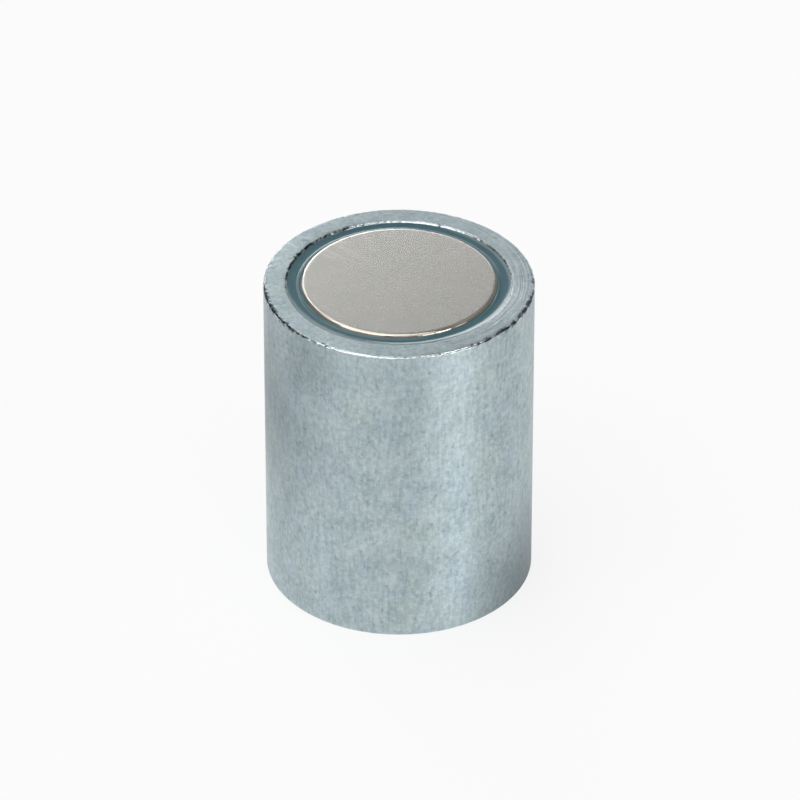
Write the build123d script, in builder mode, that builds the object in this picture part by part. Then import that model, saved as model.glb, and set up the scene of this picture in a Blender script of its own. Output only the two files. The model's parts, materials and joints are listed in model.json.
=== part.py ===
# Cylindrical pot magnet with a blind tapped hole in its back, 20 mm across and 25 mm high.
#
# A turned steel pot, zinc plated, holds a nickel-plated disc magnet in a blind bore. The magnet
# stands on the bore's floor, and potting resin fills the ring round it. The resin's surface is
# dished: it climbs where it wets the steel and the magnet, and lies below both of their faces.
#
# Millimetres, +Z up along the axis, origin at the centre of the back face, magnet face on top.

from build123d import *

import math
import os

# Driving dimensions
BODY_DIAMETER = 20.0
OVERALL_HEIGHT = 25.0  # back face to magnet face
MAGNET_DIAMETER = 14.5
MAGNET_THICKNESS = 7.0
MAGNET_PROUD = 0.1  # magnet face above the steel rim
RESIN_RING_WIDTH = 1.0  # magnet to pot wall

# Tapped hole in the back: M6 coarse, left at its tap drill, without the thread
THREAD_DIAMETER = 6.0
THREAD_PITCH = 1.0
TAP_DRILL_DEPTH = 11.0  # to the drill's full diameter
DRILL_POINT_ANGLE = 118.0
COUNTERSINK_DIAMETER = 6.6
COUNTERSINK_ANGLE = 90.0

# Edges and corners
RIM_OUTER_CHAMFER = 0.15
RIM_INNER_CHAMFER = 0.1
BACK_CHAMFER = 0.1
POT_CORNER_CHAMFER = 0.2  # left in the bore's floor by the corner of the boring tool
MAGNET_EDGE_RADIUS = 0.25  # tumbled before plating

# Resin surface, as depths below the steel rim and widths of the curves that climb the walls
RESIN_DEPTH_AT_WALL = 0.1
RESIN_DEPTH_IN_DISH = 0.28
RESIN_DEPTH_AT_MAGNET = 0.18
RESIN_CLIMB_AT_WALL = 0.65
RESIN_CLIMB_AT_MAGNET = 0.25

# Worked out from the above
body_radius = BODY_DIAMETER / 2
magnet_radius = MAGNET_DIAMETER / 2
pot_radius = magnet_radius + RESIN_RING_WIDTH
rim_height = OVERALL_HEIGHT - MAGNET_PROUD
pot_floor = OVERALL_HEIGHT - MAGNET_THICKNESS
tap_drill_radius = (THREAD_DIAMETER - THREAD_PITCH) / 2
drill_point_length = tap_drill_radius / math.tan(math.radians(DRILL_POINT_ANGLE / 2))

STANDING = (Align.CENTER, Align.CENTER, Align.MIN)


# Housing: one turned piece, bored from above and drilled from below
with BuildPart() as housing:
    Cylinder(body_radius, rim_height, align=STANDING)
    with Locations((0, 0, rim_height)):
        Hole(pot_radius, depth=rim_height - pot_floor)

    circles = housing.edges().filter_by(GeomType.CIRCLE)
    back_edge, floor_corner, rim_edges = circles.group_by(Axis.Z)
    rim_inner, rim_outer = rim_edges.sort_by(SortBy.RADIUS)
    chamfer(rim_outer, RIM_OUTER_CHAMFER)
    chamfer(rim_inner, RIM_INNER_CHAMFER)
    chamfer(back_edge, BACK_CHAMFER)
    chamfer(floor_corner, POT_CORNER_CHAMFER)

    with Locations(Plane.XY.rotated((180, 0, 0))):
        CounterSinkHole(
            tap_drill_radius,
            counter_sink_radius=COUNTERSINK_DIAMETER / 2,
            depth=TAP_DRILL_DEPTH,
            counter_sink_angle=COUNTERSINK_ANGLE,
        )
    with Locations((0, 0, TAP_DRILL_DEPTH)):
        Cone(tap_drill_radius, 0, drill_point_length, align=STANDING, mode=Mode.SUBTRACT)
housing.part.label = "housing"


# Magnet: a sintered disc with tumbled edges, standing on the floor of the bore
with BuildPart() as magnet:
    with BuildSketch(Plane.XY.offset(pot_floor)):
        Circle(magnet_radius)
    extrude(amount=MAGNET_THICKNESS)
    fillet(magnet.edges().filter_by(GeomType.CIRCLE), MAGNET_EDGE_RADIUS)
magnet.part.label = "magnet"


# Potting resin: the ring poured between magnet and pot wall, revolved from its half section
with BuildPart() as potting_resin:
    at_wall = (pot_radius, rim_height - RESIN_DEPTH_AT_WALL)
    dish_outer = (pot_radius - RESIN_CLIMB_AT_WALL, rim_height - RESIN_DEPTH_IN_DISH)
    dish_inner = (magnet_radius + RESIN_CLIMB_AT_MAGNET, rim_height - RESIN_DEPTH_IN_DISH)
    at_magnet = (magnet_radius, rim_height - RESIN_DEPTH_AT_MAGNET)
    bottom_outer = (pot_radius - POT_CORNER_CHAMFER, pot_floor)
    corner_top = (pot_radius, pot_floor + POT_CORNER_CHAMFER)
    with BuildSketch(Plane.XZ):
        with BuildLine():
            TangentArc(dish_outer, at_wall, tangent=(1, 0))
            Line(dish_outer, dish_inner)
            TangentArc(dish_inner, at_magnet, tangent=(-1, 0))
            Polyline(at_magnet, (magnet_radius, pot_floor), bottom_outer, corner_top, at_wall)
        make_face()
    revolve(axis=Axis.Z)
potting_resin.part.label = "potting_resin"


os.makedirs("parts", exist_ok=True)
export_step(housing.part, "parts/housing.step")
export_step(magnet.part, "parts/magnet.step")
export_step(potting_resin.part, "parts/potting_resin.step")
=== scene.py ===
# %% [markdown]
# # A cylindrical pot magnet
#
# This little workholding magnet is a steel cylinder, 20 mm across and 25 mm high. One end is
# bored out, and a disc magnet stands in the bore. Potting resin fills the gap between the
# magnet and the steel, and the other end has a screw thread, so the magnet can be bolted to a
# fixture.
#
# A CAD model already holds the true sizes. This script loads that model as a frame, reads the
# sizes from it, and builds three finer pieces in the same place: the housing, the magnet and
# the resin ring. Then it gives each one the finish it has in life.

# %% Load the CAD model
import json
import math

import bmesh
import bpy
from mathutils import Matrix, Vector, noise


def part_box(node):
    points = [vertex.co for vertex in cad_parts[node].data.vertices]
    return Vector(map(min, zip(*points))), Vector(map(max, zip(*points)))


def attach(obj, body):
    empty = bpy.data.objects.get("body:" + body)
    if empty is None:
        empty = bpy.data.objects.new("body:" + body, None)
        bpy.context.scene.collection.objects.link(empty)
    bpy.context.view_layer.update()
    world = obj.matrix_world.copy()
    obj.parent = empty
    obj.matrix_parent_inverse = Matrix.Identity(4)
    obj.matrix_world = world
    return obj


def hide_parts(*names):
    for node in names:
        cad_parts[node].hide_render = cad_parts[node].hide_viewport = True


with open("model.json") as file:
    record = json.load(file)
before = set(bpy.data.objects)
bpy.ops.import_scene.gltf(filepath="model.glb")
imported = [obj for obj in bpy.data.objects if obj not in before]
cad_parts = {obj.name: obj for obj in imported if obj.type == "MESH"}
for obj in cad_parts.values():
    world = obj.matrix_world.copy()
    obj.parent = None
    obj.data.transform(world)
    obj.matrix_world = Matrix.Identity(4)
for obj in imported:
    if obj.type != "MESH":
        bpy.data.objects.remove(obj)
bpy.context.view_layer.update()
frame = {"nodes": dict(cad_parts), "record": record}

print("CAD nodes:", ", ".join(sorted(frame["nodes"])))

# %% [markdown]
# ## Sizes
#
# Blender counts in metres and a maker of small parts thinks in millimetres, so `MM` turns one
# into the other. Every size that the CAD model decides is read from it. That way the fine
# pieces can't drift away from the frame when the model changes.

# %% Read the sizes from the frame
MM = 0.001

housing_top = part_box("housing")[1]
magnet_bottom, magnet_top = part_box("magnet")
resin_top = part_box("potting_resin")[1]
thread_mount = next(mount for mount in frame["record"]["mounts"] if mount["name"] == "thread")

BODY_RADIUS = housing_top.x
RIM_LEVEL = housing_top.z
MAGNET_RADIUS = magnet_top.x
MAGNET_LEVEL = magnet_top.z
POT_RADIUS = resin_top.x
POT_FLOOR = magnet_bottom.z
TAP_RADIUS = thread_mount["dims"]["r_mm"] * MM
COUNTERSINK_DEPTH = thread_mount["pos_m"][2]
TAP_DRILL_DEPTH = COUNTERSINK_DEPTH + thread_mount["dims"]["length_mm"] * MM

print(f"body {2 * BODY_RADIUS / MM:.1f} mm across, rim at {RIM_LEVEL / MM:.1f} mm")
print(f"magnet {2 * MAGNET_RADIUS / MM:.1f} mm across, face at {MAGNET_LEVEL / MM:.1f} mm")
print(f"pot {2 * POT_RADIUS / MM:.1f} mm across, floor at {POT_FLOOR / MM:.1f} mm")

# %% [markdown]
# ## A lathe
#
# All three pieces are round, and on a real machine they are turned. Cylinders and cones joined
# with booleans would also give the shape, but a lathe is the better idea: draw half of the
# cross section as a line of (radius, height) points and spin it once about the axis.
# `use_merge` closes the last step onto the first. A point on the axis leaves one copy of itself
# per step, and those are welded when the piece is finished.
#
# 720 steps put a vertex every 0.09 mm along the rim. That is fine enough to carry the small
# nicks in the edge of the steel. Smoother pieces get by with half as many.

# %% Spin an outline
STEPS = 720
SMOOTH_STEPS = 360
QUARTER = math.pi / 2
# A chamfer's points, as (along the end face, down the wall) in chamfer widths from the corner.
# Points close to its ends keep its edges crisp, and those beyond them give wear a finer mesh.
CHAMFER_POINTS = [(0, 1.5), (0, 1.12), (0.08, 0.92), (0.22, 0.78),
                  (0.78, 0.22), (0.92, 0.08), (1.12, 0), (1.5, 0)]


def turn(outline, steps=STEPS, rise=0.0):
    """Spin (radius, height) points once about Z, rising as a thread does, and return the mesh."""
    mesh = bmesh.new()
    line = [mesh.verts.new((radius, 0, height)) for radius, height in outline]
    edges = [mesh.edges.new(pair) for pair in zip(line, line[1:])]
    bmesh.ops.spin(mesh, geom=line + edges, axis=(0, 0, 1), angle=2 * math.pi, steps=steps,
                   dvec=(0, 0, rise / steps), use_merge=rise == 0)
    return mesh


def join(mesh, part, lift=0.0):
    """Add a copy of one mesh, lifted along the axis, to another."""
    data = bpy.data.meshes.new("part")
    part.to_mesh(data)
    data.transform(Matrix.Translation((0, 0, lift)))
    mesh.from_mesh(data)
    bpy.data.meshes.remove(data)


def outside_round(corner, radius, points):
    """Points of a quarter round that goes up and over a square corner."""
    angles = [QUARTER * i / (points - 1) for i in range(points)]
    return [(corner[0] - radius * (1 - math.cos(angle)), corner[1] - radius * (1 - math.sin(angle)))
            for angle in angles]


def broken_edge(corner, width, metal):
    """Points of a 45 degree chamfer, up and over. `metal` is -1 for metal inside it, 1 outside."""
    return [(corner[0] + metal * width * along, corner[1] - width * down)
            for along, down in CHAMFER_POINTS]


# %% [markdown]
# A finished piece is welded and its faces are turned outwards. It is shaded smooth, apart from
# corners sharper than 30 degrees, which a turned part has between its faces. Last it takes its
# material and is tied to the frame: it rides on the body, and its CAD node is hidden.

# %% Finish a piece
WELD = 0.002 * MM
SHARP_CORNER = math.radians(30)


def finish_piece(mesh, name, material, cad_node):
    """Weld the mesh, make an object of it and tie it to the frame."""
    bmesh.ops.remove_doubles(mesh, verts=mesh.verts, dist=WELD)
    bmesh.ops.dissolve_degenerate(mesh, edges=mesh.edges, dist=WELD)
    bmesh.ops.recalc_face_normals(mesh, faces=mesh.faces)
    for face in mesh.faces:
        face.smooth = True
    for edge in mesh.edges:
        edge.smooth = edge.calc_face_angle(0) < SHARP_CORNER
    open_edges = sum(not edge.is_manifold for edge in mesh.edges)
    data = bpy.data.meshes.new(name)
    mesh.to_mesh(data)
    mesh.free()
    data.materials.append(material)
    piece = bpy.data.objects.new(name, data)
    bpy.context.scene.collection.objects.link(piece)
    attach(piece, "root")
    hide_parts(cad_node)
    triangles = sum(len(face.vertices) - 2 for face in data.polygons)
    print(f"{name}: {triangles} triangles, {open_edges} open edges")


# %% [markdown]
# ## Colours and nodes
#
# Colours are written as sRGB hex, the way a colour picker shows them. Shaders work with linear
# light, so one function translates. A second one adds a shader node, with its settings and its
# links, and returns what it puts out.

# %% Helpers for the materials
def linear(hex_colour):
    """Turn an sRGB hex colour into the linear colour that a shader expects."""
    channels = [int(hex_colour[i:i + 2], 16) / 255 for i in (1, 3, 5)]
    return [c / 12.92 if c <= 0.04045 else ((c + 0.055) / 1.055) ** 2.4 for c in channels] + [1]


def add_node(tree, kind, inputs, **settings):
    """Add a node with its settings, set or link each input by name or number, return its output."""
    node = tree.nodes.new(kind)
    for setting, value in settings.items():
        setattr(node, setting, value)
    for key, value in inputs.items():
        if isinstance(value, bpy.types.NodeSocket):
            tree.links.new(value, node.inputs[key])
        else:
            node.inputs[key].default_value = value
    return next(output for output in node.outputs if output.enabled)


def new_material(name):
    """Start a material. Return it with its tree, its shader and the place on it in millimetres."""
    material = bpy.data.materials.new(name)
    material.use_nodes = True
    tree = material.node_tree
    coordinates = tree.nodes.new("ShaderNodeTexCoord")
    place = add_node(tree, "ShaderNodeVectorMath", {
        0: coordinates.outputs["Object"], "Scale": 1 / MM}, operation="SCALE")
    return material, tree, tree.nodes["Principled BSDF"], place


def from_axis(tree, place):
    """Return the place flattened onto the floor, and its distance from the axis."""
    flat = add_node(tree, "ShaderNodeVectorMath", {0: place, 1: (1, 1, 0)}, operation="MULTIPLY")
    return flat, add_node(tree, "ShaderNodeVectorMath", {0: flat}, operation="LENGTH")


# %% [markdown]
# ## Zinc plate
#
# The housing is free-cutting steel with a thin coat of zinc and a clear blue passivation. Fresh
# zinc plate is brighter, but handling dulls it: the eye sees a soft blue-grey metal with
# clouds, fine mottling, short streaks along the axis and a few dark specks. A few large soft
# patches on the side are painted shade, a darker grey put into the colour.
#
# - Turning leaves fine grooves around the axis. They are too fine to draw, and they spread
#   light across themselves, so the shader is anisotropic, and a lamp shows as an upright band.
# - The end face was turned too, and there the marks of the tool are wide enough to see: rings
#   about 0.17 mm apart. They are deepest on one side, where their pale lines are also painted
#   sheen, and that side of the end face is darkened with painted shade.
# - The corners of the end face are rubbed bright and smooth. Where an edge is worn through, the
#   steel below is dark, and over a few arcs that dark is also painted shade.

# %% Make the zinc plate
# A material measures its patterns in millimetres, so the values beside one are in them too.
HALF_RIM = (BODY_RADIUS - POT_RADIUS) / 2 / MM
RIM_MIDDLE = (BODY_RADIUS + POT_RADIUS) / 2 / MM
RIM_HEIGHT = RIM_LEVEL / MM
SIDE = BODY_RADIUS / MM
MOTTLE_SIZE = 0.35
STREAK_WIDTH = 0.22
CLOUD_SIZE = 2.4
DRIFT_SIZE = 3.1
SPECK_SPACING = 0.5
RING_SPACING = 0.17
# Patches of painted shade on the side: centre in mm, reach in mm, and how much darker the middle is.
PAINTED_SHADE_PATCHES = [((-10.5, -1.0, 17.0), 13, 0.55),
                ((10.5, -2.5, -1.0), 12, 0.9),
                ((-6.5, -7.5, 23.0), 4, 0.35)]


def zinc_plate():
    """Blue passivated zinc on turned steel, dulled by handling and rubbed bright at its corners, with
    painted shade and sheen.
    """
    material, tree, shader, place = new_material("zinc_plate_blue_passivated")
    axes = add_node(tree, "ShaderNodeSeparateXYZ", {0: place}).node.outputs
    flat, radius = from_axis(tree, place)

    # Clouds, mottling and streaks, from the darkest grey of the plate to its lightest
    tall = add_node(tree, "ShaderNodeVectorMath", {0: place, 1: (1, 1, 0.85)}, operation="MULTIPLY")
    upright = add_node(tree, "ShaderNodeVectorMath", {
        0: place, 1: (1, 1, 0.12)}, operation="MULTIPLY")
    mottle = add_node(tree, "ShaderNodeTexNoise", {
        "Vector": tall, "Scale": 1 / MOTTLE_SIZE, "Detail": 4, "Roughness": 0.8})
    streaks = add_node(tree, "ShaderNodeTexNoise", {
        "Vector": upright, "Scale": 1 / STREAK_WIDTH, "Detail": 2})
    clouds = add_node(tree, "ShaderNodeTexNoise", {
        "Vector": place, "Scale": 1 / CLOUD_SIZE, "Detail": 3, "Roughness": 0.6})
    patterns = add_node(tree, "ShaderNodeCombineXYZ", {"X": mottle, "Y": streaks, "Z": clouds})
    tone = add_node(tree, "ShaderNodeVectorMath", {
        0: patterns, 1: (0.54, 0.22, 0.24)}, operation="DOT_PRODUCT")
    tone = add_node(tree, "ShaderNodeMapRange", {
        "Value": tone, "From Min": 0.385, "From Max": 0.615})
    colour = add_node(tree, "ShaderNodeMix", {
        "Factor": tone, "A": linear("#9fafb4"), "B": linear("#cbd8dc")}, data_type="RGBA")

    # The passivation drifts a little between blue and green
    drift = add_node(tree, "ShaderNodeTexNoise", {
        "Vector": place, "Scale": 1 / DRIFT_SIZE, "Detail": 2})
    drift = add_node(tree, "ShaderNodeMapRange", {
        "Value": drift, "From Min": 0.35, "From Max": 0.65})
    tint = add_node(tree, "ShaderNodeMix", {
        "Factor": drift, "A": linear("#fafcff"), "B": linear("#fefffb")}, data_type="RGBA")
    colour = add_node(tree, "ShaderNodeMix", {
        "Factor": 1, "A": colour, "B": tint}, data_type="RGBA", blend_type="MULTIPLY")

    # Dark specks, and scuffs where the streaks are strongest
    specks = add_node(tree, "ShaderNodeTexNoise", {
        "Vector": tall, "Scale": 1 / SPECK_SPACING, "Detail": 1})
    specks = add_node(tree, "ShaderNodeMapRange", {
        "Value": specks, "From Min": 0.64, "From Max": 0.84, "To Max": 0.6})
    scuffs = add_node(tree, "ShaderNodeMapRange", {
        "Value": streaks, "From Min": 0.64, "From Max": 0.82, "To Max": 0.4})
    marks = add_node(tree, "ShaderNodeMath", {0: specks, 1: scuffs}, operation="MAXIMUM")
    colour = add_node(tree, "ShaderNodeMix", {
        "Factor": marks, "A": colour, "B": linear("#6d7c84")}, data_type="RGBA")

    # Painted shade in soft patches on the side, which stop below the rim
    below_rim = add_node(tree, "ShaderNodeMapRange", {
        "Value": axes["Z"], "From Min": RIM_HEIGHT - 0.1, "From Max": RIM_HEIGHT - 0.2})
    for centre, reach, darkening in PAINTED_SHADE_PATCHES:
        distance = add_node(tree, "ShaderNodeVectorMath", {
            0: place, 1: centre}, operation="DISTANCE")
        painted_shade = add_node(tree, "ShaderNodeMapRange", {
            "Value": distance, "From Min": 0, "From Max": reach, "To Min": darkening,
            "To Max": 0}, interpolation_type="SMOOTHSTEP")
        painted_shade = add_node(tree, "ShaderNodeMath", {0: painted_shade, 1: below_rim}, operation="MULTIPLY")
        colour = add_node(tree, "ShaderNodeMix", {
            "Factor": painted_shade, "A": colour, "B": linear("#606c72")}, data_type="RGBA")

    # Turned rings on the end face: noise that changes fast with the radius, slowly around it
    ring = add_node(tree, "ShaderNodeMath", {
        0: radius, 1: 1 / RING_SPACING}, operation="MULTIPLY")
    around = add_node(tree, "ShaderNodeVectorMath", {0: flat, "Scale": 0.2}, operation="SCALE")
    up = add_node(tree, "ShaderNodeCombineXYZ", {"Z": ring})
    ring_place = add_node(tree, "ShaderNodeVectorMath", {0: around, 1: up}, operation="ADD")
    rings = add_node(tree, "ShaderNodeTexNoise", {
        "Vector": ring_place, "Scale": 1, "Detail": 2, "Roughness": 0.6})
    end_face = add_node(tree, "ShaderNodeMapRange", {
        "Value": axes["Z"], "From Min": RIM_HEIGHT - 0.06, "From Max": RIM_HEIGHT - 0.03})
    # From one side of the end face to the other: the rings grow stronger there, and so does painted
    # shade
    ring_and_shade_ramp = add_node(tree, "ShaderNodeMapRange", {
        "Value": axes["X"], "From Min": -SIDE, "From Max": SIDE, "To Min": 0.15})
    ring_and_shade_side = add_node(tree, "ShaderNodeMath", {
        0: end_face, 1: ring_and_shade_ramp}, operation="MULTIPLY")
    rings = add_node(tree, "ShaderNodeMath", {0: rings, 1: ring_and_shade_side}, operation="MULTIPLY")
    # Painted shade: the end face is darkened towards one side
    painted_shade_on_end = add_node(tree, "ShaderNodeMath", {0: ring_and_shade_side, 1: 0.26}, operation="MULTIPLY")
    colour = add_node(tree, "ShaderNodeMix", {
        "Factor": painted_shade_on_end, "A": colour, "B": linear("#6d7c84")}, data_type="RGBA")
    # Pale lines along the rings: tool marks, and painted sheen that is strongest on the same side
    ring_marks_and_sheen = add_node(tree, "ShaderNodeMapRange", {
        "Value": rings, "From Min": 0.4, "From Max": 0.6, "To Max": 0.35})
    colour = add_node(tree, "ShaderNodeMix", {
        "Factor": ring_marks_and_sheen, "A": colour, "B": linear("#d9e2e5")}, data_type="RGBA")

    # Corners rubbed bright, and bare steel where the wear is deepest, which on a few arcs is also
    # painted shade
    off_middle = add_node(tree, "ShaderNodeMath", {0: radius, 1: RIM_MIDDLE}, operation="SUBTRACT")
    off_middle = add_node(tree, "ShaderNodeMath", {0: off_middle}, operation="ABSOLUTE")
    corners = add_node(tree, "ShaderNodeMapRange", {
        "Value": off_middle, "From Min": HALF_RIM - 0.15, "From Max": HALF_RIM - 0.11})
    top_end = add_node(tree, "ShaderNodeMapRange", {
        "Value": axes["Z"], "From Min": RIM_HEIGHT - 0.17, "From Max": RIM_HEIGHT - 0.13})
    rubbed = add_node(tree, "ShaderNodeMath", {0: corners, 1: top_end}, operation="MULTIPLY")
    colour = add_node(tree, "ShaderNodeMix", {
        "Factor": rubbed, "A": colour, "B": linear("#d3dcdf")}, data_type="RGBA")
    bare_and_shade = add_node(tree, "ShaderNodeAttribute", {}, attribute_name="bare_steel_and_shade").node.outputs["Fac"]
    colour = add_node(tree, "ShaderNodeMix", {
        "Factor": bare_and_shade, "A": colour, "B": linear("#414f58")}, data_type="RGBA")

    # Skin and gloss: satin plate, smooth where it is rubbed
    relief = add_node(tree, "ShaderNodeVectorMath", {
        0: patterns, 1: (1, 0.4, 0)}, operation="DOT_PRODUCT")
    relief = add_node(tree, "ShaderNodeMath", {0: relief, 1: marks}, operation="SUBTRACT")
    skin = add_node(tree, "ShaderNodeBump", {
        "Height": relief, "Strength": 1, "Distance": 0.005 * MM})
    turned = add_node(tree, "ShaderNodeBump", {
        "Height": rings, "Strength": 1, "Distance": 0.04 * MM, "Normal": skin})
    satin = add_node(tree, "ShaderNodeMapRange", {"Value": mottle, "To Min": 0.46, "To Max": 0.34})
    gloss = add_node(tree, "ShaderNodeMix", {"Factor": rubbed, "A": satin, "B": 0.16})
    grooves = add_node(tree, "ShaderNodeTangent", {}, direction_type="RADIAL", axis="Z")

    tree.links.new(colour, shader.inputs["Base Color"])
    tree.links.new(gloss, shader.inputs["Roughness"])
    tree.links.new(turned, shader.inputs["Normal"])
    tree.links.new(grooves, shader.inputs["Tangent"])
    shader.inputs["Metallic"].default_value = 1
    shader.inputs["Anisotropic"].default_value = 0.8
    shader.inputs["Anisotropic Rotation"].default_value = 0.25
    return material


# %% [markdown]
# ## Nickel plate
#
# A neodymium magnet is pressed and sintered from powder and would rust within days, so it is
# barrel plated: nickel, copper, nickel. The plate follows the grain of the sintered disc, which
# gives a warm satin face with a fine pebbled skin. On the tumbled edge the last coat is thin,
# and the copper below it warms the colour.

# %% Make the nickel plate
PEBBLE_SIZE = 0.28
SWELL_SIZE = 1.1
BLOOM_SIZE = 2.2
EDGE_START = MAGNET_RADIUS / MM - 0.25
EDGE_END = MAGNET_RADIUS / MM - 0.05


def nickel_plate():
    """Satin nickel over pressed powder, glossier and warmer on the tumbled edge."""
    material, tree, shader, place = new_material("nickel_plate_satin")
    pebbles = add_node(tree, "ShaderNodeTexNoise", {
        "Vector": place, "Scale": 1 / PEBBLE_SIZE, "Detail": 2, "Roughness": 0.6})
    swell = add_node(tree, "ShaderNodeTexNoise", {
        "Vector": place, "Scale": 1 / SWELL_SIZE, "Detail": 1})
    bloom = add_node(tree, "ShaderNodeTexNoise", {
        "Vector": place, "Scale": 1 / BLOOM_SIZE, "Detail": 2})
    bloom = add_node(tree, "ShaderNodeMapRange", {
        "Value": bloom, "From Min": 0.35, "From Max": 0.65})
    colour = add_node(tree, "ShaderNodeMix", {
        "Factor": bloom, "A": linear("#d3d1cc"), "B": linear("#d0d0ca")}, data_type="RGBA")

    _, radius = from_axis(tree, place)
    edge = add_node(tree, "ShaderNodeMapRange", {
        "Value": radius, "From Min": EDGE_START, "From Max": EDGE_END})
    colour = add_node(tree, "ShaderNodeMix", {
        "Factor": edge, "A": colour, "B": linear("#d9cfbf")}, data_type="RGBA")

    relief = add_node(tree, "ShaderNodeMath", {
        0: swell, 1: 2.0, 2: pebbles}, operation="MULTIPLY_ADD")
    skin = add_node(tree, "ShaderNodeBump", {
        "Height": relief, "Strength": 1, "Distance": 0.001 * MM})
    satin = add_node(tree, "ShaderNodeMapRange", {"Value": pebbles, "To Min": 0.28, "To Max": 0.26})
    gloss = add_node(tree, "ShaderNodeMix", {"Factor": edge, "A": satin, "B": 0.1})
    tree.links.new(colour, shader.inputs["Base Color"])
    tree.links.new(gloss, shader.inputs["Roughness"])
    tree.links.new(skin, shader.inputs["Normal"])
    shader.inputs["Metallic"].default_value = 1
    return material


# %% [markdown]
# ## Potting epoxy
#
# The resin is a two-part epoxy with a blue-green pigment. It cures with a skin as smooth as
# paint, so it is a plain gloss: body colour below, clear reflections on top. On its fuller side,
# towards the edge of the bore, a pale reflection is painted into its colour.

# %% Make the epoxy
FULL_AND_REFLECTION_SIDE = Vector((0.17, -0.985, 0))
PIGMENT_DRIFT_SIZE = 1.5
RAGGED_SIZE = 0.35
WAVE_SIZE = 0.8
PAINTED_REFLECTION_START = POT_RADIUS / MM - 0.35
PAINTED_REFLECTION_END = POT_RADIUS / MM + 0.25


def potting_epoxy():
    """Glossy blue-green epoxy, with a painted pale reflection along the bore on its fuller side."""
    material, tree, shader, place = new_material("potting_epoxy_gloss")
    drift = add_node(tree, "ShaderNodeTexNoise", {
        "Vector": place, "Scale": 1 / PIGMENT_DRIFT_SIZE, "Detail": 2})
    colour = add_node(tree, "ShaderNodeMix", {
        "Factor": drift, "A": linear("#425f69"), "B": linear("#4d7078")}, data_type="RGBA")

    _, radius = from_axis(tree, place)
    # A painted pale reflection, ragged, along the bore on the fuller side
    ragged = add_node(tree, "ShaderNodeTexNoise", {
        "Vector": place, "Scale": 1 / RAGGED_SIZE, "Detail": 2})
    ragged = add_node(tree, "ShaderNodeMath", {
        0: ragged, 1: 0.3, 2: radius}, operation="MULTIPLY_ADD")
    outer = add_node(tree, "ShaderNodeMapRange", {
        "Value": ragged, "From Min": PAINTED_REFLECTION_START, "From Max": PAINTED_REFLECTION_END})
    side = add_node(tree, "ShaderNodeVectorMath", {
        0: place, 1: FULL_AND_REFLECTION_SIDE}, operation="DOT_PRODUCT")
    side = add_node(tree, "ShaderNodeMapRange", {
        "Value": side, "From Min": 1.0, "From Max": 7.5, "To Max": 0.65})
    painted_reflection = add_node(tree, "ShaderNodeMath", {0: outer, 1: side}, operation="MULTIPLY")
    colour = add_node(tree, "ShaderNodeMix", {
        "Factor": painted_reflection, "A": colour, "B": linear("#96a5a9")}, data_type="RGBA")

    wave = add_node(tree, "ShaderNodeTexNoise", {
        "Vector": place, "Scale": 1 / WAVE_SIZE, "Detail": 1})
    bump = add_node(tree, "ShaderNodeBump", {
        "Height": wave, "Strength": 1, "Distance": 0.008 * MM})
    tree.links.new(colour, shader.inputs["Base Color"])
    tree.links.new(bump, shader.inputs["Normal"])
    shader.inputs["Roughness"].default_value = 0.13
    shader.inputs["IOR"].default_value = 1.55
    return material


# %% [markdown]
# ## The housing
#
# One outline gives the whole outer skin. It starts at the mouth of the tapped hole, runs across
# the back and up the side, over the rim and down into the pot, and ends in the middle of the
# pot's floor.

# %% Turn the housing's skin
RIM_CHAMFER = 0.12 * MM
BORE_CHAMFER = 0.125 * MM
BACK_CHAMFER = 0.1 * MM
CORNER_ROOM = 3  # chamfer widths left as fine mesh on both sides of a corner
COUNTERSINK_RADIUS = TAP_RADIUS + COUNTERSINK_DEPTH

rim_corner = (BODY_RADIUS, RIM_LEVEL)
bore_corner = (POT_RADIUS, RIM_LEVEL)

housing = turn([
    (COUNTERSINK_RADIUS, 0),
    (BODY_RADIUS - BACK_CHAMFER, 0),
    (BODY_RADIUS, BACK_CHAMFER),
    (BODY_RADIUS, RIM_LEVEL - CORNER_ROOM * RIM_CHAMFER),
    *broken_edge(rim_corner, RIM_CHAMFER, -1),
    (BODY_RADIUS - CORNER_ROOM * RIM_CHAMFER, RIM_LEVEL),
    (POT_RADIUS + CORNER_ROOM * BORE_CHAMFER, RIM_LEVEL),
    *reversed(broken_edge(bore_corner, BORE_CHAMFER, 1)),
    (POT_RADIUS, RIM_LEVEL - CORNER_ROOM * BORE_CHAMFER),
    (POT_RADIUS, POT_FLOOR),
    (0, POT_FLOOR),
])

# %% [markdown]
# ## Worn edges
#
# Nothing on a turned part is softer than its edges, even when a chamfer breaks them. They
# collect small dents before and after plating, so the thin line of light that runs along them is
# never even. Each vertex near a corner is pushed into the metal, by a slow noise and a quick one
# added together. A few larger nicks are listed, at an angle around the axis.
#
# The plate is thinnest where the noise pushes most. A value on each vertex tells the material
# how much steel is bare there. It is raised over a few arcs that were rubbed more than the rest,
# as when a part is slid in and out of a fixture, and the dark there is also painted shade.

# %% Wear the edges
SLOW_DENTS = 1.1
QUICK_DENTS = 0.28
PLATE_HOLDS = 0.9  # the push that plate bears before steel shows


def turn_off(angle, other):
    """How far one direction around the axis lies from another, in degrees."""
    return abs((angle - other + 180) % 360 - 180)


def rub_and_shade(angle, arcs):
    """How much an edge is rubbed, with painted shade, at an angle: 0 to 1, by arcs of (middle, spread,
    strength).
    """
    return max([strength * math.exp(-(turn_off(angle, middle) / spread) ** 2)
                for middle, spread, strength in arcs], default=0)


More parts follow.
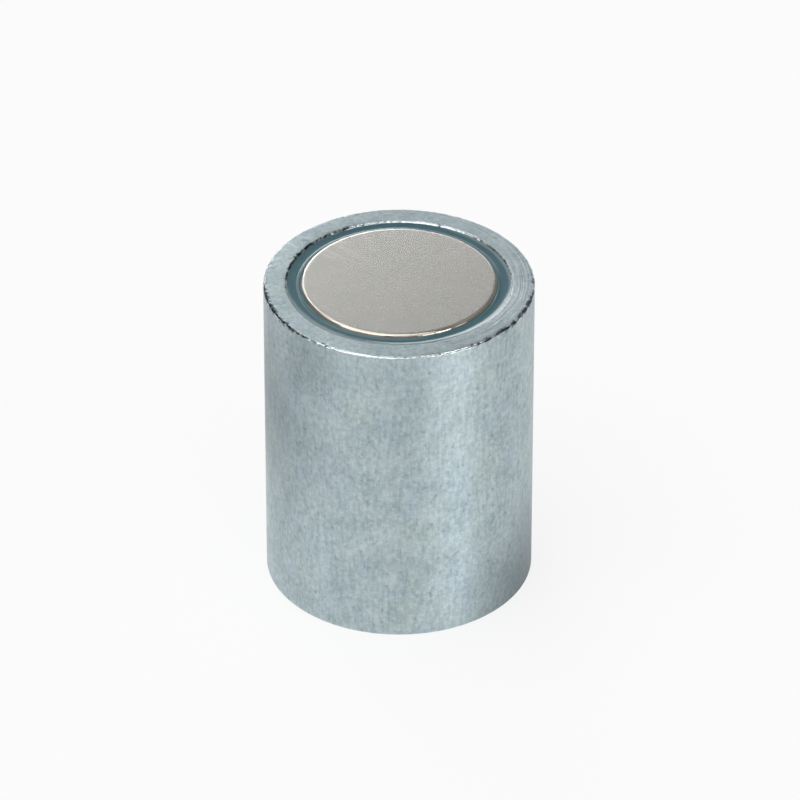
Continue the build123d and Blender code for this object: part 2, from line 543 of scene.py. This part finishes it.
def wear_edge(mesh, corner, inwards, depth, reach, nicks=(), rubbed=()):
    """Push the vertices around a corner into the metal, unevenly, and mark where steel is bare, which
    on rubbed arcs is also painted shade.
    """
    layers = mesh.verts.layers.float
    bare_steel_and_shade = layers.get("bare_steel_and_shade") or layers.new("bare_steel_and_shade")
    worn = 0
    for vert in mesh.verts:
        radius = vert.co.xy.length
        distance = math.hypot(radius - corner[0], vert.co.z - corner[1])
        if distance > reach:
            continue
        place = Vector((vert.co.x, vert.co.y, 2 * (vert.co.z - radius))) / MM
        slow = noise.noise(place / SLOW_DENTS)
        quick = noise.noise(place / QUICK_DENTS)
        push = max(0, 0.4 + 0.5 * slow + 0.8 * quick)
        angle = math.degrees(math.atan2(vert.co.y, vert.co.x))
        fading = 1 - distance / reach
        bare_and_shade = (1.1 + 8 * rub_and_shade(angle, rubbed)) * push * fading - PLATE_HOLDS
        for nick_angle, nick_depth, nick_width in nicks:
            off = math.radians(turn_off(angle, nick_angle)) * corner[0] / (nick_width * MM)
            push += nick_depth * MM / depth * math.exp(-off * off)
        push *= fading
        vert[bare_steel_and_shade] = min(1, max(0, bare_and_shade)) if nicks else 0
        vert.co.xy *= (radius + inwards * depth * push) / radius
        vert.co.z -= depth * push
        worn += 1
    return worn


# %% [markdown]
# The nicks are given as (angle in degrees, depth in mm, half width in mm), and the rubbed and
# shaded arcs as (middle, spread, strength). Angles count from the X axis, towards the Y axis.

# %% Place the nicks
RIM_NICKS = [(114, 0.09, 0.12), (147, 0.08, 0.1), (199, 0.06, 0.12), (215, 0.05, 0.2),
             (237, 0.07, 0.12), (5, 0.05, 0.15), (322, 0.04, 0.15), (288, 0.05, 0.1),
             (262, 0.04, 0.08), (243, 0.04, 0.1)]
BORE_NICKS = [(69, 0.07, 0.10), (112, 0.06, 0.08), (96, 0.04, 0.12), (128, 0.05, 0.2),
              (143, 0.05, 0.25)]
# Rubbed arcs, where the dark of bare steel is also painted shade on the edge
RIM_RUBBED_AND_SHADED = [(202, 28, 1), (334, 28, 1)]
BORE_RUBBED_AND_SHADED = [(150, 36, 1), (30, 24, 0.35)]
RIM_WEAR = 0.04 * MM
RIM_WEAR_REACH = 0.3 * MM
BORE_WEAR = 0.038 * MM
BORE_WEAR_REACH = 0.25 * MM

rim_worn = wear_edge(housing, rim_corner, -1, RIM_WEAR, RIM_WEAR_REACH, RIM_NICKS, RIM_RUBBED_AND_SHADED)
bore_worn = wear_edge(housing, bore_corner, 1, BORE_WEAR, BORE_WEAR_REACH, BORE_NICKS, BORE_RUBBED_AND_SHADED)
print("vertices worn:", rim_worn, "on the rim and", bore_worn, "on the bore")

# %% [markdown]
# ## The tapped hole
#
# An M6 thread has a pitch of 1 mm. Its groove is a 60 degree V with a flat bottom. A tap cuts it
# as a screw moves: once around for each pitch of advance. So one pitch of the profile is spun
# one full turn while it rises by one pitch, and the turn is then repeated down the hole.
#
# Three limits shape it further. The drill's countersink opens the mouth, the groove gets
# shallower where the tap stopped, and below that the plain tap drill hole goes on to its
# 118 degree point.

# %% Cut the thread
THREAD_PITCH = 1.0 * MM
THREAD_DEPTH = 0.5 * THREAD_PITCH
THREAD_END = 9.0 * MM
RUN_OUT = 1.5 * THREAD_PITCH
DRILL_POINT_ANGLE = math.radians(118)
FLANK_ANGLE = math.radians(30)

flank = THREAD_DEPTH * math.tan(FLANK_ANGLE)
bottom_flat = THREAD_PITCH / 8
crest_flat = THREAD_PITCH - bottom_flat - 2 * flank
heights = [0, crest_flat, crest_flat + flank / 2, crest_flat + flank,
           crest_flat + flank + bottom_flat, THREAD_PITCH - flank / 2, THREAD_PITCH]
depths = [0, 0, 0.5, 1, 1, 0.5, 0]
one_pitch = [(TAP_RADIUS + THREAD_DEPTH * depth, height - THREAD_PITCH)
             for depth, height in zip(depths, heights)]

one_turn = turn(one_pitch, rise=THREAD_PITCH)
thread = bmesh.new()
for number in range(math.ceil(THREAD_END / THREAD_PITCH) + 2):
    join(thread, one_turn, number * THREAD_PITCH)
one_turn.free()

for vert in thread.verts:
    radius = vert.co.xy.length
    fading = min(1, max(0, (THREAD_END - vert.co.z) / RUN_OUT))
    height = min(max(vert.co.z, 0), THREAD_END)
    cut = max(TAP_RADIUS + (radius - TAP_RADIUS) * fading, COUNTERSINK_RADIUS - height)
    vert.co.xy *= cut / radius
    vert.co.z = height

drill_hole = turn([
    (TAP_RADIUS, THREAD_END),
    (TAP_RADIUS, TAP_DRILL_DEPTH),
    (0, TAP_DRILL_DEPTH + TAP_RADIUS / math.tan(DRILL_POINT_ANGLE / 2)),
])
for part in (thread, drill_hole):
    join(housing, part)
    part.free()
finish_piece(housing, "housing_turned_steel", zinc_plate(), "housing")

# %% [markdown]
# ## The magnet
#
# The disc was tumbled before plating, which rounds its edges. The round is small, but it is
# what draws the bright line along the front of the magnet.

# %% Turn the magnet
MAGNET_EDGE = 0.25 * MM
EDGE_POINTS = 9
EDGE_WEAR = 0.012 * MM
EDGE_WEAR_REACH = 0.3 * MM
magnet_corner = (MAGNET_RADIUS, MAGNET_LEVEL)
magnet = turn([
    (0, POT_FLOOR),
    (MAGNET_RADIUS, POT_FLOOR),
    *outside_round(magnet_corner, MAGNET_EDGE, EDGE_POINTS),
    (MAGNET_RADIUS - 1.5 * MAGNET_EDGE, MAGNET_LEVEL),
    (0, MAGNET_LEVEL),
], steps=SMOOTH_STEPS)
edge_worn = wear_edge(magnet, magnet_corner, -1, EDGE_WEAR, EDGE_WEAR_REACH)
print("vertices worn on the magnet:", edge_worn)
finish_piece(magnet, "magnet_disc", nickel_plate(), "magnet")

# %% [markdown]
# ## The resin ring
#
# Liquid resin wets steel and nickel, so it climbs at both walls and cures like that. The curve
# of that climb is called a meniscus. Here the part stood a little out of level while it cured:
# on one side the resin runs up onto the chamfer of the bore, and on the other it stays lower. A
# fine bead runs close around the magnet, where the resin shrank away from a first thin coat.
#
# So the height of the resin depends on the radius and on the side. The ring is turned flat
# first, with a fine row of points across it, and then each point is lifted to its height. Its
# skin reaches a little into the steel and under the magnet's edge, so no gap shows at either.

# %% Say how deep the resin lies
WALL_DEPTH_LOW = 0.16 * MM
WALL_DEPTH_FULL = 0.08 * MM
MAGNET_DEPTH = 0.13 * MM
LEAST_DEPTH = 0.005 * MM
RESIN_SAG = 0.07 * MM
BEAD_HEIGHT = 0.05 * MM
BEAD_RADIUS = MAGNET_RADIUS + 0.14 * MM
BEAD_WIDTH = 0.09 * MM


def blend(first, last, share):
    """The value that lies a share of the way from the first one to the last."""
    return first + (last - first) * share


def resin_depth(radius, fullness):
    """Depth of the resin's skin below the rim. Fullness goes from 0 on its low side to 1."""
    across = (radius - MAGNET_RADIUS) / (POT_RADIUS - MAGNET_RADIUS)
    wall_depth = blend(WALL_DEPTH_LOW, WALL_DEPTH_FULL, fullness)
    sag = 4 * RESIN_SAG * across * (1 - across)
    bead = BEAD_HEIGHT * math.exp(-((radius - BEAD_RADIUS) / BEAD_WIDTH) ** 2)
    return max(LEAST_DEPTH, blend(MAGNET_DEPTH, wall_depth, across) + sag - bead)


ring_middle = (MAGNET_RADIUS + POT_RADIUS) / 2
middle_depths = [resin_depth(ring_middle, fullness) / MM for fullness in (0, 1)]
print(f"mid-ring depth: {middle_depths[0]:.3f} mm on the low side, {middle_depths[1]:.3f} on the full")

# %% Turn the resin ring
RESIN_POINTS = 41
LIP = 0.08 * MM
TUCK = 0.04 * MM
SKIRT = 0.4 * MM

skin_outer = POT_RADIUS + LIP
skin_inner = MAGNET_RADIUS - TUCK
skin_radii = [blend(skin_outer, skin_inner, i / (RESIN_POINTS - 1)) for i in range(RESIN_POINTS)]
resin = turn([
    (MAGNET_RADIUS, POT_FLOOR),
    (POT_RADIUS, POT_FLOOR),
    (POT_RADIUS, RIM_LEVEL - SKIRT),
    (skin_outer, RIM_LEVEL - SKIRT),
    *[(radius, RIM_LEVEL) for radius in skin_radii],
    (skin_inner, RIM_LEVEL - SKIRT),
    (MAGNET_RADIUS, RIM_LEVEL - SKIRT),
    (MAGNET_RADIUS, POT_FLOOR),
], steps=SMOOTH_STEPS)
for vert in resin.verts:
    if vert.co.z > RIM_LEVEL - SKIRT / 2:
        radius = vert.co.xy.length
        fullness = (1 + vert.co.dot(FULL_AND_REFLECTION_SIDE) / radius) / 2
        vert.co.z = RIM_LEVEL - resin_depth(radius, fullness)
finish_piece(resin, "resin_ring", potting_epoxy(), "potting_resin")

# %% [markdown]
# ## The floor
#
# Paper under soft lamps is light grey rather than white, and its grey changes with every lamp.
# A share of it therefore glows at a strength of 1, which is white, but only for rays that look
# at it or mirror it. The rest is plain paper, so it still takes the part's shadow, and the glow
# throws no light on the part.

# %% Lay the paper
FLOOR_HALF_WIDTH = 3
PAPER_GLOW = 0.82

paper_mesh = bmesh.new()
bmesh.ops.create_grid(paper_mesh, x_segments=1, y_segments=1, size=FLOOR_HALF_WIDTH)
paper_data = bpy.data.meshes.new("paper_floor")
paper_mesh.to_mesh(paper_data)
paper_mesh.free()
paper = bpy.data.objects.new("paper_floor", paper_data)
bpy.context.scene.collection.objects.link(paper)

material, tree, shader, _ = new_material("white_paper")
shader.inputs["Base Color"].default_value = linear("#f9f9f9")
shader.inputs["Roughness"].default_value = 1
shader.inputs["Specular IOR Level"].default_value = 0
rays = tree.nodes.new("ShaderNodeLightPath").outputs
mirrored = add_node(tree, "ShaderNodeMath", {
    0: rays["Is Glossy Ray"], 1: rays["Is Transmission Ray"]}, operation="MAXIMUM")
looked_at = add_node(tree, "ShaderNodeMath", {
    0: rays["Is Camera Ray"], 1: mirrored}, operation="MAXIMUM")
share = add_node(tree, "ShaderNodeMath", {0: looked_at, 1: PAPER_GLOW}, operation="MULTIPLY")
glow = add_node(tree, "ShaderNodeEmission", {"Color": linear("#ffffff"), "Strength": 1})
surface = add_node(tree, "ShaderNodeMixShader", {0: share, 1: shader.outputs["BSDF"], 2: glow})
tree.links.new(surface, tree.nodes["Material Output"].inputs["Surface"])
paper_data.materials.append(material)
print(f"paper: {2 * FLOOR_HALF_WIDTH} m square")

# %% [markdown]
# ## Light
#
# Satin metal shows what stands around it, so the lights are soft panels, as in a studio for
# small products. Each is described by where it stands, seen from the part, by its width and
# height in metres, and by the brightness of its face, where 1 is paper white.
#
# Large panels overhead and in front give the even light. Low strips at the front right draw the
# upright band on the steel. Cards behind the part are what the magnet's face and the far edge of
# the bore mirror towards the camera. A dim world stands for the walls of the room.

# %% Light the part
ROOM_LEVEL = 0.2
LIGHT_DISTANCE = 1000 * MM

world = bpy.data.worlds.new("pale_room")
world.use_nodes = True
room = world.node_tree.nodes["Background"]
room.inputs["Color"].default_value = (ROOM_LEVEL, ROOM_LEVEL, ROOM_LEVEL, 1)
bpy.context.scene.world = world


def softbox(name, azimuth, elevation, width, height, brightness):
    """Stand a light panel around the part, facing it."""
    light = bpy.data.lights.new(name, "AREA")
    light.shape = "RECTANGLE"
    light.size = width
    light.size_y = height
    light.energy = math.pi * width * height * brightness
    panel = bpy.data.objects.new(name, light)
    bpy.context.scene.collection.objects.link(panel)
    turned, raised = math.radians(azimuth), math.radians(elevation)
    level = math.cos(raised)
    away = Vector((level * math.cos(turned), level * math.sin(turned), math.sin(raised)))
    panel.location = away * LIGHT_DISTANCE
    panel.rotation_mode = "QUATERNION"
    panel.rotation_quaternion = away.to_track_quat("Z", "Y")
    print(f"{name}: {light.energy:.2f} W")


softbox("overhead", 215, 78, 1.20, 0.90, 1.15)
softbox("high_back_left", 170, 50, 0.50, 0.36, 1.0)
softbox("high_back_right", 30, 53, 0.90, 0.30, 0.15)
softbox("key_front_left", 225, 44, 0.80, 0.56, 1.3)
softbox("fill_front", 290, 45, 0.90, 0.56, 0.5)
softbox("card_back_high_left", 116, 42, 0.36, 0.50, 1.5)
softbox("card_back", 100, 19, 0.36, 0.30, 3.9)
softbox("card_back_high", 94, 34, 0.50, 0.20, 0.1)
softbox("card_back_left", 124, 18, 0.28, 0.36, 0.8)
softbox("card_back_right", 79, 19, 0.26, 0.30, 1.1)
softbox("strip_low_front", 301, 12, 0.24, 0.42, 2.6)
softbox("strip_low_right", 320, 12, 0.28, 0.42, 4.2)
softbox("strip_low_far_right", 341, 14, 0.24, 0.42, 0.7)
softbox("fill_left", 210, 22, 0.40, 0.30, 0.5)

# %% [markdown]
# ## The camera
#
# A small product is taken with a long lens from a distance, so its sides stay nearly parallel.
# The camera stands in front of the part, 34 degrees above the level of its middle, and aims a
# little above the middle, because the part stands lower in the picture than its centre.

# %% Set up the camera
CAMERA_ELEVATION = math.radians(34.43)
CAMERA_DISTANCE = 500 * MM
LENS = 301.5
AIM_ABOVE = 1.601 * MM
AIM_RIGHT = 0.0704 * MM

camera = bpy.data.objects.new("camera", bpy.data.cameras.new("camera"))
bpy.context.scene.collection.objects.link(camera)
bpy.context.scene.camera = camera
camera.data.lens = LENS
camera.data.clip_start = 10 * MM
camera.data.clip_end = 20

part_centre = Vector((0, 0, RIM_LEVEL / 2))
towards_camera = Vector((0, -math.cos(CAMERA_ELEVATION), math.sin(CAMERA_ELEVATION)))
picture_up = Vector((0, math.sin(CAMERA_ELEVATION), math.cos(CAMERA_ELEVATION)))
aim = part_centre + picture_up * AIM_ABOVE + Vector((AIM_RIGHT, 0, 0))
camera.location = part_centre + towards_camera * CAMERA_DISTANCE
camera.rotation_mode = "QUATERNION"
camera.rotation_quaternion = (aim - camera.location).to_track_quat("-Z", "Y")
bpy.context.scene.view_settings.view_transform = "Standard"
print(f"camera: {LENS} mm lens, {CAMERA_DISTANCE / MM:.0f} mm away")
